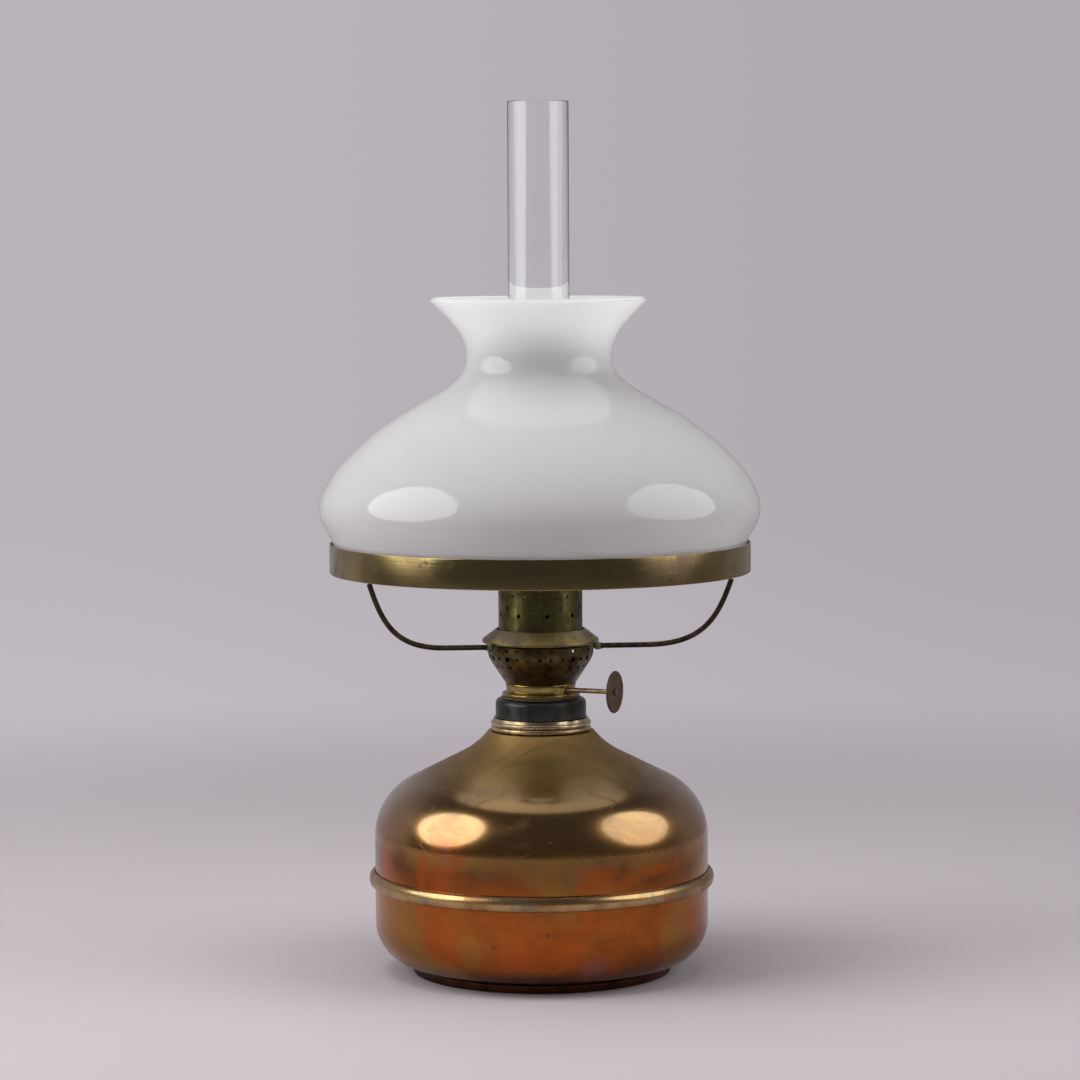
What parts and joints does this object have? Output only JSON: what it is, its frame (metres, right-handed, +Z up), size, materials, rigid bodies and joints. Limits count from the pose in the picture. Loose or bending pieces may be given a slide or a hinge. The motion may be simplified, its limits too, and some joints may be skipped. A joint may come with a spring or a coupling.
{
  "type": "kerosene table lamp",
  "caption": "Kerosene table lamp: copper font, round burner with side winder, tall chimney, and opal shade in a wide ring on wire arms.",
  "frame": {"origin": "centre of the font's underside, on the plane the lamp stands on", "axes": "+Z up along the lamp's axis, the front faces -Y, the winder knob points to +X and a little to the front"},
  "size_m": [0.2512, 0.2512, 0.4962],
  "materials": {
    "font_copper": "aged copper, satin",
    "dark_copper": "darkened copper",
    "pale_brass": "pale brass with tarnish",
    "bronze": "dark bronze patina",
    "dark_collar": "blackened brass",
    "washer_fibre": "matt",
    "bright_brass": "polished",
    "burner_brass": "satin",
    "patina_brass": "green gold patina",
    "aged_brass": "aged, uneven",
    "dark_wire": "darkened wire",
    "dark_knob": "dark brown patina",
    "cotton": "woven",
    "clear_glass": "clear",
    "opal_glass": "opal white, gloss"
  },
  "bodies": {
    "font": {"font_lower_shell": "font_copper", "font_upper_shell": "font_copper", "foot_ring": "dark_copper", "seam_bead": "pale_brass", "mouth_ring": "bronze", "screw_collar": "dark_collar"},
    "burner_washer": {"sealing_washer": "washer_fibre"},
    "burner": {"burner_base": "bright_brass", "air_basket": "bronze", "gallery": "patina_brass", "chimney_seat": "patina_brass", "air_diffuser": "patina_brass", "wick_tube": "burner_brass", "air_tube": "burner_brass", "air_duct": "burner_brass", "winder_cradle": "burner_brass", "shaft_bushing": "bright_brass"},
    "knob": {"winder_shaft": "burner_brass", "spur_wheel_inner": "burner_brass", "spur_wheel_outer": "burner_brass", "knob_disc": "dark_knob", "knob_hub": "burner_brass", "knob_rivet": "burner_brass"},
    "wick": {"wick": "cotton"},
    "chimney": {"chimney": "clear_glass"},
    "shade_holder": {"holder_collar": "patina_brass", "arm_front_left": "dark_wire", "arm_front_right": "dark_wire", "arm_back": "dark_wire", "shade_ring": "aged_brass"},
    "shade": {"shade": "opal_glass"}
  },
  "joints": [
    {"name": "burner_rise", "type": "slide", "parent": "font", "child": "burner_washer", "axis": [0, 0, 1], "range_m": [0, 0.008]},
    {"name": "burner_unscrew", "type": "hinge", "parent": "burner_washer", "child": "burner", "pos_m": [0, 0, 0.1588], "axis": [0, 0, 1], "range_deg": [0, 900]},
    {"name": "wick_knob_turn", "type": "hinge", "parent": "burner", "child": "knob", "pos_m": [-0.00207, -0.00488, 0.1628], "axis": [-0.9205, 0.3907, 0], "range_deg": [-81, 135]},
    {"name": "wick_raise", "type": "slide", "parent": "burner", "child": "wick", "axis": [0, 0, 1], "range_m": [-0.006, 0.01]},
    {"name": "chimney_lift", "type": "slide", "parent": "burner", "child": "chimney", "axis": [0, 0, 1], "range_m": [0, 0.18]},
    {"name": "shade_holder_lift", "type": "slide", "parent": "burner", "child": "shade_holder", "axis": [0, 0, 1], "range_m": [0, 0.045]},
    {"name": "shade_lift", "type": "slide", "parent": "shade_holder", "child": "shade", "axis": [0, 0, 1], "range_m": [0, 0.26]}
  ],
  "couplings": [
    {"joint": "burner_rise", "follows": "burner_unscrew", "m_per_rad": 0.0005093},
    {"joint": "wick_raise", "follows": "wick_knob_turn", "m_per_rad": 0.0042}
  ]
}
